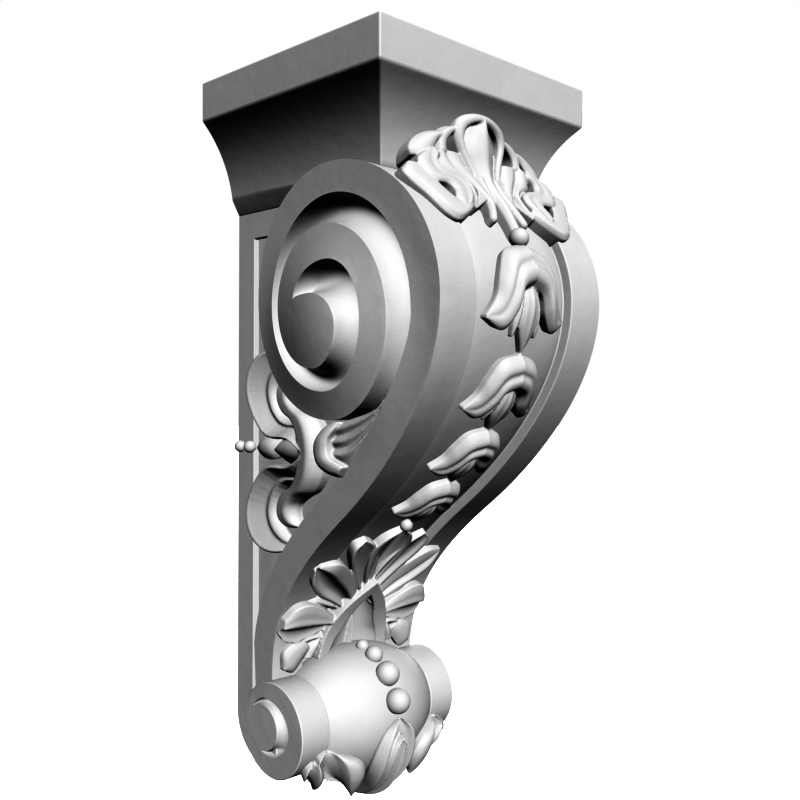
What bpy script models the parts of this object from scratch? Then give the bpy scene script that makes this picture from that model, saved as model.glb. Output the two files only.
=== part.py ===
"""Carved corbel: a moulded abacus over a scroll with spiral volutes, leaf carving and a barrel foot.

The corbel is one solid. It is described in millimetres, with X across, the wall at Y = 0, the front
towards -Y, and Z counted down from the top of the abacus. The finished mesh is moved so that its
origin is half way up the wall face, and is scaled to metres.
"""
import math

import bmesh
import bpy
from mathutils import Vector

MM = 0.001
ORIGIN_BELOW_TOP = 175.0

# Abacus and the cove under it, as half width and level. The cove is a curve through three points.
ABACUS_HALF = 70.0
ABACUS_DEPTH = 125.1
COVE_TOP = (70.0, -18.7)
COVE_PULL = (55.5, -33.5)
COVE_FOOT = (52.4, -54.7)
CHAMFER_FOOT = (48.2, -62.2)
COVE_STEPS = 7

# Back block: a border against the wall and under the cove, with the side panels sunk behind it.
BORDER_HALF = 48.2
BORDER_FLARE = 1.0
BORDER_DEPTH = 13.0
BORDER_TOP = -74.8
PANEL_HALF = 45.5
BORDER_BASE_LEVEL = -309.0
BASE_LEVEL = -335.2

# Scroll: half width tapers down the front, and the volute faces rise in a low dome.
SCROLL_HALF = 53.4
SCROLL_HALF_LEVEL = -160.3
SCROLL_TAPER = 0.0444
DOME_RISE = 9.9
DOME_REACH = 61.0
DOME_CENTRE = (-79.7, -124.2)
BAND = 15.3
CHANNEL_EDGE = 0.60
CHANNEL_DEPTH = 5.15
CHANNEL_CROWN = ((0.0, 2.3), (0.30, 2.6), (0.54, 3.7))

# Each spiral goes through its front, top, back and bottom points in turn, as (Y, Z).
OUTER_SPIRAL = (
    (-144.1, -110.7), (-81.1, -50.0), (-26.7, -108.8), (-78.2, -163.2),
    (-116.6, -120.2), (-76.3, -76.5), (-45.4, -108.8), (-74.4, -140.5),
    (-90.7, -122.1), (-72.5, -107.3), (-60.1, -109.2),
)
INNER_SPIRAL = (
    (-128.6, -116.4), (-81.1, -63.7), (-39.3, -108.8), (-78.2, -150.6),
    (-103.8, -120.2), (-81.1, -92.9), (-60.1, -109.2),
)
EYE_CENTRE = (-70.0, -122.0)
GROOVE_START = -4 / 6

# The front falls from the volute to the foot in two cubic curves that meet in one direction.
UPPER_CURVE = ((-144.1, -110.7), (-144.1, -150.2), (-108.4, -186.5), (-80.2, -208.1))
LOWER_CURVE = ((-80.2, -208.1), (-32.5, -244.6), (-26.4, -269.5), (-26.4, -296.0))

# Foot: a barrel between two rings, turned on one axis, each ring with a short spiral groove.
ROLL_CENTRE = (-31.8, -312.1)
RING_RADIUS = 22.9
RING_INNER = 34.9
RING_OUTER = 51.8
BARREL_RADIUS = 33.0
BARREL_END_RADIUS = 22.2
BARREL_POWER = 2.3
RING_GROOVE_DEPTH = 5.0

# The ring's groove runs between two ovals, as centre (Y, Z) and half axes, from one angle to another.
RING_WALL = (-25.5, -312.0, 18.9, 14.5)
RING_EYE = (-23.6, -312.4, 11.7, 11.1)
RING_GROOVE_TURN = (124, -94)

# Line that the crown of leaves grows along: up the scroll, over the corner, up the cove.
CROWN_CURVE = ((-138.5, -84.0), (-127.0, -62.0), (-112.0, -58.0), (-116.0, -25.0))
CROWN_LENGTH = 68.0

# Level of the line along which the flower on each side panel grows
FLOWER_AXIS = -178.0

# Husks of the front drop: distance of the top from the volute's top, length, half span, height
HUSKS = (
    (72.2, 49.0, 26.5, 7.5), (121.0, 39.0, 23.6, 6.6),
    (159.2, 34.0, 21.2, 6.4), (192.6, 33.0, 19.6, 5.4),
)

# Beads in the hood over the barrel, as (Y, Z, radius)
BARREL_BEADS = ((-64.9, -301.9, 6.3), (-57.5, -290.0, 6.2), (-47.8, -282.4, 4.6), (-39.3, -279.6, 3.5))

# Steps in the mesh
QUARTER_STEPS = 6
TURN_STEPS = 24
LEAF_STEPS = 5
BEAD_STEPS = (7, 5)
FLAT_ENOUGH = math.radians(3)

# Sections across a leaf, from its first edge line to the second, as parts of its height
FLAT = (1, 1, 1)
ROUND = (0.4, 1, 0.4)
FULL = (0.3, 0.8, 1, 0.8, 0.3)
HOOD = (0.1, 0.76, 1, 0.4)
SPOON = (0.9, 0.5, 0.35, 0.6, 0.8)
FOLD = (0.75, 0.35, 0.55, 1, 0.75)
CURL = (0.7, 0.95, 0.65, 0.3)
PETAL = (0.55, 0.92, 0.95, 0.5)


def mix(a, b, t):
    return tuple(p + (q - p) * t for p, q in zip(a, b))


def bezier(points, t):
    while len(points) > 1:
        points = [mix(a, b, t) for a, b in zip(points, points[1:])]
    return points[0]


def keyed(values, t):
    """Smooth value through evenly spaced keys."""
    span = t * (len(values) - 1)
    i = min(int(span), len(values) - 2)
    f = span - i
    a, b = values[i], values[i + 1]
    before = values[i - 1] if i > 0 else 2 * a - b
    after = values[i + 2] if i + 2 < len(values) else 2 * b - a
    slope_a, slope_b = (b - before) / 2, (after - a) / 2
    return ((2 * f ** 3 - 3 * f ** 2 + 1) * a + (f ** 3 - 2 * f ** 2 + f) * slope_a
            + (3 * f ** 2 - 2 * f ** 3) * b + (f ** 3 - f ** 2) * slope_b)


def keyed_point(points, t):
    return (keyed([p[0] for p in points], t), keyed([p[1] for p in points], t))


def quarter_spiral(extremes, q):
    """Point after q quarter turns, on quarter ellipses between the extreme points."""
    i = min(int(q), len(extremes) - 2)
    angle = (q - i) * math.pi / 2
    a, b = extremes[i], extremes[i + 1]
    if i % 2 == 0:
        return (b[0] + (a[0] - b[0]) * math.cos(angle), a[1] + (b[1] - a[1]) * math.sin(angle))
    return (a[0] + (b[0] - a[0]) * math.sin(angle), b[1] + (a[1] - b[1]) * math.cos(angle))


def outer_edge(q):
    """Outline of the scroll: q runs from -2 at the foot, through 0 at the front, up and round."""
    if q >= 0:
        return quarter_spiral(OUTER_SPIRAL, q)
    return bezier(UPPER_CURVE, -q) if q >= -1 else bezier(LOWER_CURVE, -q - 1)


def inward(q):
    """Unit normal of the outline, into the corbel."""
    a, b = outer_edge(max(q - 0.01, -2)), outer_edge(q + 0.01)
    run, rise = b[0] - a[0], b[1] - a[1]
    length = math.hypot(run, rise)
    return (rise / length, -run / length)


def inner_edge(q):
    """Inner side of the scroll's band."""
    if q >= 0:
        return quarter_spiral(INNER_SPIRAL, q)
    point, normal = outer_edge(q), inward(q)
    closing = (INNER_SPIRAL[0][1] - OUTER_SPIRAL[0][1]) * max(1 + q / 0.6, 0) ** 2
    return (point[0] + BAND * normal[0], point[1] + BAND * normal[1] + closing)


def side_x(point):
    """Half width of the scroll at a point of its side."""
    reach = math.dist(point, DOME_CENTRE) / DOME_REACH
    dome = DOME_RISE * math.cos(reach * math.pi / 2) ** 2 if reach < 1 else 0.0
    return SCROLL_HALF + SCROLL_TAPER * (point[1] - SCROLL_HALF_LEVEL) + dome


class Shell:
    """Gathers the faces of one closed body and welds the points that they share."""

    def __init__(self):
        self.bm = bmesh.new()

    def face(self, points):
        self.bm.faces.new([self.bm.verts.new(p) for p in points])

    def grid(self, rows):
        for row, following in zip(rows, rows[1:]):
            for i in range(len(row) - 1):
                self.face((row[i], row[i + 1], following[i + 1], following[i]))

    def loft(self, rings):
        """Closed rings joined in order, with a flat cap on each end."""
        self.grid([list(ring) + [ring[0]] for ring in rings])
        self.face(rings[0])
        self.face(rings[-1])

    def mirrored(self):
        """Adds the same faces on the other side of X = 0."""
        for face in list(self.bm.faces):
            self.face([(-v.co.x, v.co.y, v.co.z) for v in reversed(face.verts)])

    def finish(self, name):
        bm = self.bm
        bmesh.ops.remove_doubles(bm, verts=bm.verts, dist=0.002)
        bmesh.ops.dissolve_degenerate(bm, edges=bm.edges, dist=0.001)
        bmesh.ops.recalc_face_normals(bm, faces=bm.faces)
        if bm.calc_volume(signed=True) < 0:
            bmesh.ops.reverse_faces(bm, faces=bm.faces)
        for vert in bm.verts:
            vert.co = (vert.co + Vector((0, 0, ORIGIN_BELOW_TOP))) * MM
        mesh = bpy.data.meshes.new(name)
        bm.to_mesh(mesh)
        bm.free()
        solid = bpy.data.objects.new(name, mesh)
        bpy.context.scene.collection.objects.link(solid)
        return solid


def abacus_and_cove():
    levels = [(ABACUS_HALF, 0.0)]
    levels += [bezier((COVE_TOP, COVE_PULL, COVE_FOOT), i / COVE_STEPS) for i in range(COVE_STEPS + 1)]
    levels.append(CHAMFER_FOOT)
    rings = []
    for half, level in levels:
        front = -(ABACUS_DEPTH - (ABACUS_HALF - half))
        rings.append([(-half, 0, level), (half, 0, level), (half, front, level), (-half, front, level)])
    shell = Shell()
    shell.loft(rings)
    return shell.finish("abacus")


def slab(name, outline, half_at):
    """A side outline carried across the corbel, with its half width set by the level."""
    shell = Shell()
    shell.loft([[(side * half_at(z), y, z) for y, z in outline] for side in (-1, 1)])
    return shell.finish(name)


def border():
    flare = BORDER_FLARE / (BORDER_TOP - BORDER_BASE_LEVEL)
    centre_y, centre_z = ROLL_CENTRE
    base = [(centre_y * (1 - math.cos(a)), BORDER_BASE_LEVEL + (BASE_LEVEL - BORDER_BASE_LEVEL) * math.sin(a))
            for a in [i * math.pi / 12 for i in range(7)]]
    under_cove = CHAMFER_FOOT[1] + 2
    outline = [(0, under_cove)] + base + [(centre_y, centre_z), (-BORDER_DEPTH, BORDER_BASE_LEVEL + 12)]
    outline += [(-BORDER_DEPTH, BORDER_TOP), (-45, BORDER_TOP), (-57, under_cove)]
    return slab("border", outline, lambda z: BORDER_HALF + flare * (BORDER_TOP - z))


def core():
    """The mass behind the scroll, whose sides are the sunk panels; it ends inside the scroll's band."""
    round_volute = [mix(outer_edge(q), inner_edge(q), 0.5) for q in [1.4 + i * 0.24 for i in range(9)]]
    down_front = []
    for i in range(11):
        q = -0.62 - 1.33 * i / 10
        point, normal = outer_edge(q), inward(q)
        down_front.append((point[0] + BAND * 0.6 * normal[0], point[1] + BAND * 0.6 * normal[1]))
    behind = -BORDER_DEPTH * 0.4
    outline = [(behind, BORDER_TOP + 12)] + round_volute + down_front
    outline += [(ROLL_CENTRE[0], BASE_LEVEL + 12), (behind, BORDER_BASE_LEVEL)]
    return slab("core", outline, lambda z: PANEL_HALF)


def scroll():
    """Band, channel, volutes and their spiral grooves as one closed body."""
    turns = [i / QUARTER_STEPS for i in range(-2 * QUARTER_STEPS, 10 * QUARTER_STEPS + 1)]
    between = lambda first, last: [q for q in turns if first - 1e-6 <= q <= last + 1e-6]
    on_side = lambda p: (side_x(p), p[0], p[1])

    def front_row(q):
        point, normal = outer_edge(q), inward(q)
        half = side_x(point)
        sunk = min(max((1 - q) / 0.3, 0), 1)
        rows = list(CHANNEL_CROWN) + [(CHANNEL_EDGE, CHANNEL_DEPTH), (CHANNEL_EDGE, 0), (1, 0)]
        return [(half * across, point[0] + depth * sunk * normal[0], point[1] + depth * sunk * normal[1])
                for across, depth in rows]

    def ribbon_row(q):
        outer, inner = outer_edge(q), inner_edge(q)
        return [on_side(mix(outer, inner, t)) for t in (0, 0.5, 1)]

    def groove_row(q):
        wall, eye = inner_edge(q), outer_edge(q + 4)
        width = math.dist(wall, eye)
        depth = (0.75 * width + 2 - min(q, 0) * 8) * min((6 - q) * 2, 1)
        row = []
        for angle in [i * math.pi / 4 for i in range(5)]:
            x, y, z = on_side(mix(wall, eye, (1 - math.cos(angle)) / 2))
            row.append((x - depth * math.sin(angle), y, z))
        return row

    shell = Shell()
    fronts = [front_row(q) for q in between(-2, GROOVE_START + 4)]
    ribbons = [ribbon_row(q) for q in between(-2, 6)]
    grooves = [groove_row(q) for q in between(GROOVE_START, 6)]
    plain = len(between(-2, GROOVE_START))
    shell.grid(fronts)
    shell.grid(ribbons)
    shell.grid(grooves)
    shell.grid([(row[-1], (0,) + row[-1][1:]) for row in ribbons[:plain]])

    eye = [on_side(outer_edge(q)) for q in between(6, 10)] + [ribbons[-1][1]]
    shell.grid([[on_side(mix(p[1:], EYE_CENTRE, t)) for p in eye + eye[:1]] for t in (0, 0.4, 0.75, 1)])

    shell.face(grooves[0] + fronts[-1][-2::-1] + [(0,) + inner_edge(GROOVE_START)])
    shell.face(fronts[0] + ribbons[0][1:] + [(0,) + ribbons[0][-1][1:]])
    shell.mirrored()
    return shell.finish("scroll")


def turned(name, profile, centre):
    """A body turned on an axis along X, from (x, radius) points, and flat where it would pass the wall."""
    shell = Shell()
    rings = []
    for x, radius in profile:
        turn = [2 * math.pi * i / TURN_STEPS for i in range(TURN_STEPS)]
        rings.append([(x, min(centre[0] - radius * math.cos(a), -1), centre[1] + radius * math.sin(a))
                      for a in turn])
    shell.loft(rings)
    return shell.finish(name)


def barrel_radius(x):
    return BARREL_END_RADIUS + (BARREL_RADIUS - BARREL_END_RADIUS) * (1 - abs(x / RING_INNER) ** BARREL_POWER)


def roll():
    half = [(RING_OUTER, RING_RADIUS), (RING_INNER, RING_RADIUS), (RING_INNER, BARREL_END_RADIUS)]
    half += [(x, barrel_radius(x)) for x in (29.0, 22.0, 15.0, 8.0)]
    profile = [(-x, r) for x, r in half] + [(0, BARREL_RADIUS)] + half[::-1]
    return turned("roll", profile, ROLL_CENTRE)


def ring_groove(side):
    """Cutter for the short spiral groove in a ring's face, round-bottomed and open outwards."""
    shell = Shell()
    rings = []
    steps = 12
    for i in range(1, steps):
        t = i / steps
        angle = math.radians(RING_GROOVE_TURN[0] + (RING_GROOVE_TURN[1] - RING_GROOVE_TURN[0]) * t)
        around = lambda oval: (oval[0] - oval[2] * math.cos(angle), oval[1] + oval[3] * math.sin(angle))
        eye = around(RING_EYE)
        wall = mix(eye, around(RING_WALL), min(2.2 * math.sin(math.pi * t), 1))
        depth = RING_GROOVE_DEPTH * min(1.6 * math.sin(math.pi * t), 1)
        ring = []
        for across in [k * math.pi / 3 for k in range(4)]:
            y, z = mix(wall, eye, (1 - math.cos(across)) / 2)
            ring.append((side * (RING_OUTER - depth * math.sin(across)), y, z))
        rings.append([(side * (RING_OUTER + 3), *wall)] + ring + [(side * (RING_OUTER + 3), *eye)])
    shell.loft(rings)
    return shell.finish("ring_groove")


def front_table():
    """Samples of the front outline by distance from the top of the volute: (distance, q)."""
    table, distance = [(0.0, 1.0)], 0.0
    steps = 300
    for i in range(1, steps + 1):
        q = 1 - 3 * i / steps
        distance += math.dist(outer_edge(q), outer_edge(q + 3 / steps))
        table.append((distance, q))
    return table


FRONT_TABLE = front_table()


def on_front(a, s, height):
    """A place on the scroll's front: a across, s down from the volute's top, height above the band."""
    for (s0, q0), (s1, q1) in zip(FRONT_TABLE, FRONT_TABLE[1:]):
        if s <= s1:
            break
    q = q0 + (q1 - q0) * (s - s0) / (s1 - s0)
    point, normal = outer_edge(q), inward(q)
    return (a, point[0] - height * normal[0], point[1] - height * normal[1])


def on_crown(a, b, height):
    """A place over the corner of scroll and cove: a across, b up from the top bead."""
    t = b / CROWN_LENGTH
    point = bezier(CROWN_CURVE, t)
    ahead = bezier(CROWN_CURVE, t + 0.01)
    run, rise = ahead[0] - point[0], ahead[1] - point[1]
    length = math.hypot(run, rise)
    return (a, point[0] - height * rise / length, point[1] + height * run / length)


def on_barrel(a, s, height):
    """A place on the barrel: a across, s down from its front line."""
    angle = s / BARREL_RADIUS
    radius = barrel_radius(min(abs(a), RING_INNER)) + height
    return (a, ROLL_CENTRE[0] - radius * math.cos(angle), ROLL_CENTRE[1] - radius * math.sin(angle))


def leaf(place, left, right, heights, section, sink=6.0, mirror=True, steps=LEAF_STEPS):
    """A leaf raised on a carved ground, between two edge lines.

    Both edges are keyed points in the ground's own two directions, heights are keyed along the leaf,
    and section is keyed across it, from the left edge to the right, as parts of the height. The
    underside is sunk below the ground, so that the leaf grows out of it.
    """
    rings = []
    for i in range(steps + 1):
        t = i / steps
        a, b, height = keyed_point(left, t), keyed_point(right, t), keyed(heights, t)
        ring = []
        for j, part in enumerate(section):
            x, y = mix(a, b, j / (len(section) - 1))
            ring.append(place(x, y, height * part))
        for u in (0.9, 0.1):
            x, y = mix(a, b, u)
            ring.append(place(x, y, -sink))
        rings.append(ring)
    solids = []
    for side in (1, -1) if mirror else (1,):
        shell = Shell()
        shell.loft([[(side * x, y, z) for x, y, z in ring] for ring in rings])
        solids.append(shell.finish("leaf"))
    return solids


def middle_leaf(place, edge, heights, section, sink=6.0, steps=LEAF_STEPS):
    """A leaf on the middle line, from its right edge line."""
    return leaf(place, [(-a, s) for a, s in edge], edge, heights, section, sink, False, steps)


def bead(centre, radius):
    shell = Shell()
    around, rows = BEAD_STEPS
    rings = []
    for i in range(1, rows):
        polar = math.pi * i / rows
        rings.append([(centre[0] + radius * math.sin(polar) * math.cos(2 * math.pi * k / around),
                       centre[1] + radius * math.sin(polar) * math.sin(2 * math.pi * k / around),
                       centre[2] + radius * math.cos(polar)) for k in range(around)])
    shell.loft(rings)
    return [shell.finish("bead")]


def husk(top, length, span, height):
    """One bellflower of the front drop: a hood that flares into two arms over a pointed bud."""
    at = lambda points: [(a * span, top + s * length) for a, s in points]
    outer = at([(-0.02, 0.0), (0.46, 0.08), (0.68, 0.3), (0.78, 0.5), (1.0, 0.675)])
    inner = at([(-0.02, 0.4), (0.28, 0.475), (0.40, 0.66), (0.64, 0.80), (1.0, 0.71)])
    falling = [height * part for part in (1, 0.95, 0.8, 0.45, 0.05)]
    hood = leaf(on_front, outer, inner, falling, HOOD)
    petal = at([(0.13, 0.36), (0.2, 0.55), (0.21, 0.74), (0.0, 1.0)])
    return hood + middle_leaf(on_front, petal, (3, 4.6, 3.6, 0.6), FULL, steps=4)


def crown():
    """The acanthus at the head of the scroll, from its middle leaf out to the side ones."""
    ground = [(4, 24), (8.5, 38), (14.5, 50), (17, 59.5), (13.5, 64.6), (4, 68)]
    parts = middle_leaf(on_crown, ground, (1, -1, -2, -1, 0.6, 1.2), FLAT, 13)
    rim = [(5, 24), (9.5, 38), (15.5, 50), (18.4, 59.5), (14.5, 65.8), (6, 68.9), (-0.5, 69.4)]
    within = [(3, 24), (6.5, 38), (11.5, 49), (13.6, 58.6), (11, 63.6), (4.6, 66.4), (-0.5, 66.8)]
    parts += leaf(on_crown, rim, within, (2, 2.4, 2.4, 2.2, 2.2, 2.4, 2.6), FLAT, 13, steps=7)
    tongue = [(3, 18), (6, 33), (9.6, 49), (9.2, 60), (2, 67)]
    parts += middle_leaf(on_crown, tongue, (3, 3.4, 3.6, 3.9, 3.4), FULL, 10)
    stem = [(4.5, 36), (3.2, 20), (2.7, 10), (2.6, -1)]
    parts += middle_leaf(on_crown, stem, (3.4, 4, 3.6, 3), ROUND, 8, steps=3)

    outer = [(2, 38), (3.5, 24), (6, 14), (9.4, 6.6)]
    inner = [(8, 38), (8.5, 24), (10.5, 15), (13.4, 7.6)]
    parts += leaf(on_crown, outer, inner, (3, 3.2, 2.8, 2), ROUND, 8, steps=3)
    outer = [(9, 40), (12.5, 27), (16, 19), (21, 13.6)]
    inner = [(6, 38), (6.6, 29), (8.5, 21), (19.5, 12.8)]
    parts += leaf(on_crown, outer, inner, (2.6, 2.6, 2.4, 1.6), FLAT, 10, steps=3)
    outer = [(25, 50), (21.5, 42), (16.5, 34), (12, 26), (8.5, 17)]
    inner = [(14, 50), (11.5, 41), (8.5, 33), (6, 25), (5, 16)]
    parts += leaf(on_crown, outer, inner, (2.6, 3.2, 3.4, 3.2, 2.6), ROUND, 12)
    outer = [(29.5, 50), (28.6, 54.5), (26.6, 58), (23.2, 60.4), (18, 61.8), (14, 60.8)]
    inner = [(23, 49), (23, 52.6), (22.2, 54.8), (20.4, 56.8), (17.4, 59), (14.4, 59.8)]
    parts += leaf(on_crown, outer, inner, (2.8, 3, 3, 3, 2.8, 2.2), (0.2, 1, 0.7), 12)
    outer = [(45, 38), (44.4, 43.7), (42, 49.6), (37.6, 54.4), (32, 57.6), (26.5, 59), (22.3, 57.8)]
    inner = [(34, 38), (34, 43), (33, 47.5), (30.7, 50.6), (28, 54.2), (25, 56), (22, 56.9)]
    parts += leaf(on_crown, outer, inner, (2.2, 2.8, 3.2, 3.2, 3.1, 2.8, 2.2), (-0.9, 0.8, 1, 0.7), 12)
    outer = [(33, 47), (31.4, 42), (30.5, 38.5), (27.5, 35), (21.5, 32), (18, 27.5), (17.8, 21.5), (21, 15)]
    inner = [(24.5, 51), (23.6, 45), (21, 40), (17.5, 35.5), (15, 30.5), (14.8, 25), (16.4, 19), (20.5, 13.6)]
    parts += leaf(on_crown, outer, inner, (3.4, 3.6, 3.6, 3.6, 3.4, 3.2, 3, 2.4), ROUND, 12, steps=6)
    outer = [(43, 46), (45.8, 38.4), (44.4, 30), (41, 24.6), (34, 24.2), (31.4, 21), (33.2, 16.4), (31, 11.4)]
    inner = [(29, 51.4), (31.6, 46), (33.2, 40), (31, 35), (24.4, 33), (19.8, 29), (19.2, 22), (25, 12.6)]
    heights = (3.2, 4.6, 4.8, 4.8, 4.7, 4.6, 4.6, 4)
    parts += leaf(on_crown, outer, inner, heights, (0.8, 1, 1, 0.8), 12, steps=6)
    outer = [(54.5, 37), (53, 27), (50, 18), (45.5, 9.4), (38, 3.2), (29.5, 6.4), (19, 17)]
    inner = [(49, 41), (45, 33), (40.8, 25.6), (36, 17.4), (32, 12.6), (29, 12.4), (25, 20)]
    heights = (2, 3, 3.5, 3.7, 3.7, 3.7, 3.4)
    return parts + leaf(on_crown, outer, inner, heights, (0.3, 0.95, 1, 0.9), 12, steps=7)


def palmette():
    """The fan of hollow leaves over the barrel, and the pointed hood in front of it."""
    edge = [(3, 272), (9.5, 257), (12.3, 245), (8.5, 236.5), (0.3, 231.5)]
    parts = middle_leaf(on_front, edge, (4, 3.5, 2.7, 2.2, 1.5), (0.9, 0.6, 0.1, 0.5, 0.8), 9)
    outer = [(3, 278), (13, 265.5), (22.5, 252.5), (25.4, 243), (20.8, 238.4)]
    inner = [(-1.4, 276), (2, 259), (7, 248), (13.5, 241), (20, 238.2)]
    parts += leaf(on_front, outer, inner, (5, 4, 3, 2, 1), SPOON, 9)
    outer = [(8, 287), (22.5, 279), (33, 273), (40.5, 265), (43, 255.5)]
    inner = [(4, 283), (10, 269.5), (19.5, 258.5), (30, 251), (40.5, 252)]
    parts += leaf(on_front, outer, inner, (5, 5, 5, 4.5, 2.5), FOLD, 9)
    outer = [(16, 296), (28, 298.5), (37.5, 300.7), (44, 299.5), (48.6, 294.5)]
    inner = [(16, 289), (26, 282), (35.5, 277.8), (43, 279), (48.2, 286)]
    parts += leaf(on_front, outer, inner, (5.5, 6, 6, 5.6, 4.5), (0.5, 0.5, 1.05, 0.75), 9)
    outer = [(27, 306), (31, 311), (36.5, 316.8), (42, 315)]
    inner = [(31, 301), (37, 300.8), (43.5, 305), (43, 314)]
    parts += leaf(on_front, outer, inner, (3.5, 4.5, 4.5, 3), (0.5, 1, 0.6), 9, steps=3)

    rim = [(-0.3, 265.5), (6, 272.5), (12.5, 280.5), (18.5, 291.5), (21.3, 300), (23.3, 312)]
    within = [(-0.3, 275), (3.2, 279.5), (6.8, 285.5), (11, 296.5), (14.2, 303), (17, 312)]
    parts += leaf(on_front, rim, within, (7.4, 7.3, 7, 6.2, 5.6, 5.2), FLAT, 9)
    hollow = [(a + 1.1, s - 0.4) for a, s in within]
    return parts + middle_leaf(on_front, hollow, (7, 6.8, 6.6, 6, 5.4, 5), (0.95, 0.15, -0.08, 0.15, 0.95), 9)


def barrel_leaves():
    """Leaves that wrap the barrel from below."""
    edge = [(0.2, -2.3), (8.5, 3), (12.5, 12), (12.5, 23), (8, 38), (5, 52)]
    parts = middle_leaf(on_barrel, edge, (3, 5, 6, 7.5, 9, 9), (0.25, 0.95, 0.4, 0.4, 0.95, 0.25))
    nest = [(0.2, 5.3), (5, 11), (6.5, 19), (4.5, 32), (3, 50)]
    parts += middle_leaf(on_barrel, nest, (6.5, 6.5, 7.5, 9.5, 9.5), (0.5, 0.7, 1.1, 0.7, 0.5))
    outer = [(38, 10.5), (42.5, 14.5), (41, 22), (33, 31), (20.5, 34)]
    inner = [(31, 11.5), (21.5, 14.5), (16.8, 20.5), (16.5, 28), (19.5, 34)]
    parts += leaf(on_barrel, outer, inner, (5, 7.5, 9, 10, 10.5), (0.7, 0.35, 0.6, 1, 0.4))
    outer = [(44.5, 17), (47, 22), (46, 30), (38, 38.5)]
    inner = [(41, 18), (37, 25), (34.5, 33), (36, 39.5)]
    return parts + leaf(on_barrel, outer, inner, (6, 8, 9, 9), (0.6, 0.4, 1, 0.8), 8, steps=4)


def side_flower(side):
    """The flower on a side panel, in order along its axis from the wall: each line is (Y, rise)."""

    def on_axis(y, rise, height):
        return (side * (PANEL_HALF + height), y, FLOWER_AXIS + rise)

    def grow(upper, lower, heights, section, steps):
        return leaf(on_axis, upper, lower, heights, section, 4, False, steps)

    beads = bead((side * (BORDER_HALF + 1.3), -3.3, FLOWER_AXIS + 0.7), 3.0)
    beads += bead((side * (BORDER_HALF + 1.3), -11.1, FLOWER_AXIS + 0.7), 3.0)
    upper = [(-15.5, 0.7), (-20, 4.2), (-25, 4.6), (-31, 2.4), (-33, 1.6)]
    lower = [(-15.5, 0.3), (-20, -3.2), (-25, -4.2), (-31, -2.6), (-33, -1.8)]
    bud = grow(upper, lower, (4, 5.5, 5.5, 4, 3), ROUND, 4)
    upper = [(-30, 1.2), (-36, 4.2), (-42, 5.4), (-50, 5.6)]
    lower = [(-30, -1.5), (-36, -4.2), (-42, -5.6), (-50, -5.8)]
    calyx = grow(upper, lower, (4, 7, 8.5, 9), ROUND, 3)

    curl_outside = [(-50, 7), (-35, 6), (-20, 12), (-10.8, 28), (-14.5, 43), (-27.5, 48.8), (-40, 45.6)]
    curl_inside = [(-54, 14), (-43.5, 15), (-35, 20), (-31.5, 29), (-34.6, 35), (-40, 40), (-43.3, 44.6)]
    petal_outside = [(-55, -1), (-53, 8), (-46.5, 15.6), (-37.5, 20.5), (-35.6, 29), (-40.5, 35), (-50.5, 35)]
    petal_inside = [(-69, -1), (-67.5, 9), (-61.5, 17), (-52, 21.6), (-47.5, 27), (-48.4, 31.5), (-52, 34.5)]
    leaves = []
    for fold in (1, -1):
        lines = [[(y, fold * rise - 0.8) for y, rise in line]
                 for line in (curl_outside, curl_inside, petal_outside, petal_inside)]
        leaves += grow(lines[0], lines[1], (8.5, 8.5, 8, 8, 8, 6.5, 3), CURL, 7)
        leaves += grow(lines[2], lines[3], (12, 12, 10.5, 9.2, 8.8, 7.5, 4), PETAL, 6)

    upper = [(-77, 15.5), (-72, 11), (-69.4, 5), (-69.6, -1), (-72, -6.5), (-77.5, -10.5)]
    lower = [(-87, 14), (-81, 10), (-78.5, 5), (-79, 0), (-82, -6), (-86.5, -9.5)]
    collar = grow(upper, lower, (10, 12.5, 14, 14, 12.5, 10), (0.2, 0.98, 1, 0.9), 5)
    upper = [(-74, 12), (-83, 14), (-91, 16), (-100, 18.5), (-107, 22), (-114.5, 30.5)]
    lower = [(-74, -4), (-82, -6), (-89, -4.5), (-97, 3), (-106, 13), (-115.8, 28.5)]
    trumpet = grow(upper, lower, (9, 10, 10, 10, 9.6, 8.6), (0.82, 1, 0.92, 0.6), 5)
    return beads + bud + calyx + leaves + collar + trumpet


def beads():
    parts = bead(on_front(0, 70.0, 2.0), 4.5)
    parts += bead(on_front(0, 229.3, -0.4), 3.3)
    for y, z, radius in BARREL_BEADS:
        parts += bead((0, y, z), radius)
    return parts


def combine(base, operation, others):
    """Applies one Boolean with all the other solids to the base solid, and removes them."""
    group = bpy.data.collections.new("group")
    for solid in others:
        group.objects.link(solid)
    modifier = base.modifiers.new("combine", "BOOLEAN")
    modifier.operation = operation
    modifier.solver = "EXACT"
    modifier.operand_type = "COLLECTION"
    modifier.collection = group
    depsgraph = bpy.context.evaluated_depsgraph_get()
    result = bpy.data.meshes.new_from_object(base.evaluated_get(depsgraph))
    base.modifiers.remove(modifier)
    base.data = result
    for solid in others:
        bpy.data.objects.remove(solid)
    bpy.data.collections.remove(group)


def keep_outer_shell(mesh):
    """Removes the small sealed pockets that overlapping leaves leave between them."""
    bm = bmesh.new()
    bm.from_mesh(mesh)
    left, shells = set(bm.verts), []
    while left:
        reached = {left.pop()}
        edge = list(reached)
        while edge:
            near = {e.other_vert(v) for v in edge for e in v.link_edges}
            edge = list(near - reached)
            reached |= near
        left -= reached
        shells.append(reached)
    shells.sort(key=len)
    bmesh.ops.delete(bm, geom=[v for shell in shells[:-1] for v in shell], context="VERTS")
    bm.to_mesh(mesh)
    bm.free()


def thin_out(mesh):
    """Merges the faces that lie almost in one plane."""
    bm = bmesh.new()
    bm.from_mesh(mesh)
    bmesh.ops.dissolve_limit(bm, angle_limit=FLAT_ENOUGH, verts=bm.verts, edges=bm.edges)
    bm.to_mesh(mesh)
    bm.free()


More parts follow.
